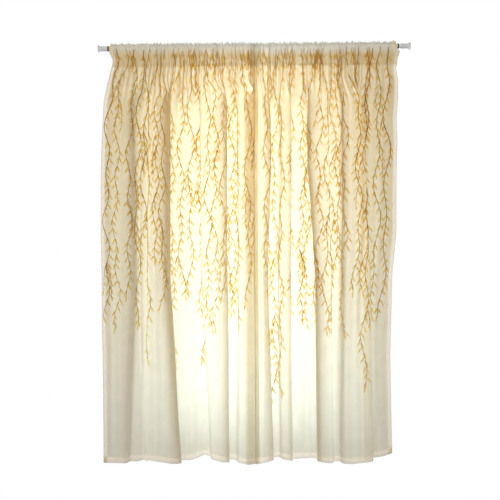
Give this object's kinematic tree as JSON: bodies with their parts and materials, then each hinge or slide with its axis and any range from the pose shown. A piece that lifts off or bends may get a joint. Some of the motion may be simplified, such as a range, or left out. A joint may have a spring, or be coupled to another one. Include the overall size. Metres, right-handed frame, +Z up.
{
  "type": "pair of sheer curtains on a tension rod",
  "caption": "Pair of sheer voile curtains with rod pockets and small ruffled headings, gathered on a telescoping spring tension rod with flanged end caps.",
  "frame": {"origin": "centre of the rod's left end face, where it presses on the side of the opening", "axes": "+X along the rod towards its right end, +Z up, -Y towards the room"},
  "size_m": [1.48, 0.071, 2.0039],
  "materials": {
    "voile": "cream sheer voile with a yellow leaf print",
    "tube": "white gloss paint on steel",
    "cap": "white satin plastic",
    "collar": "dark grey rubber"
  },
  "bodies": {
    "root": {"panel_left": "voile", "panel_right": "voile", "rod_outer_tube": "tube", "rod_inner_tube": "tube", "end_cap_left": "cap", "end_cap_right": "cap", "collar_left": "collar", "collar_right": "collar"}
  },
  "joints": []
}
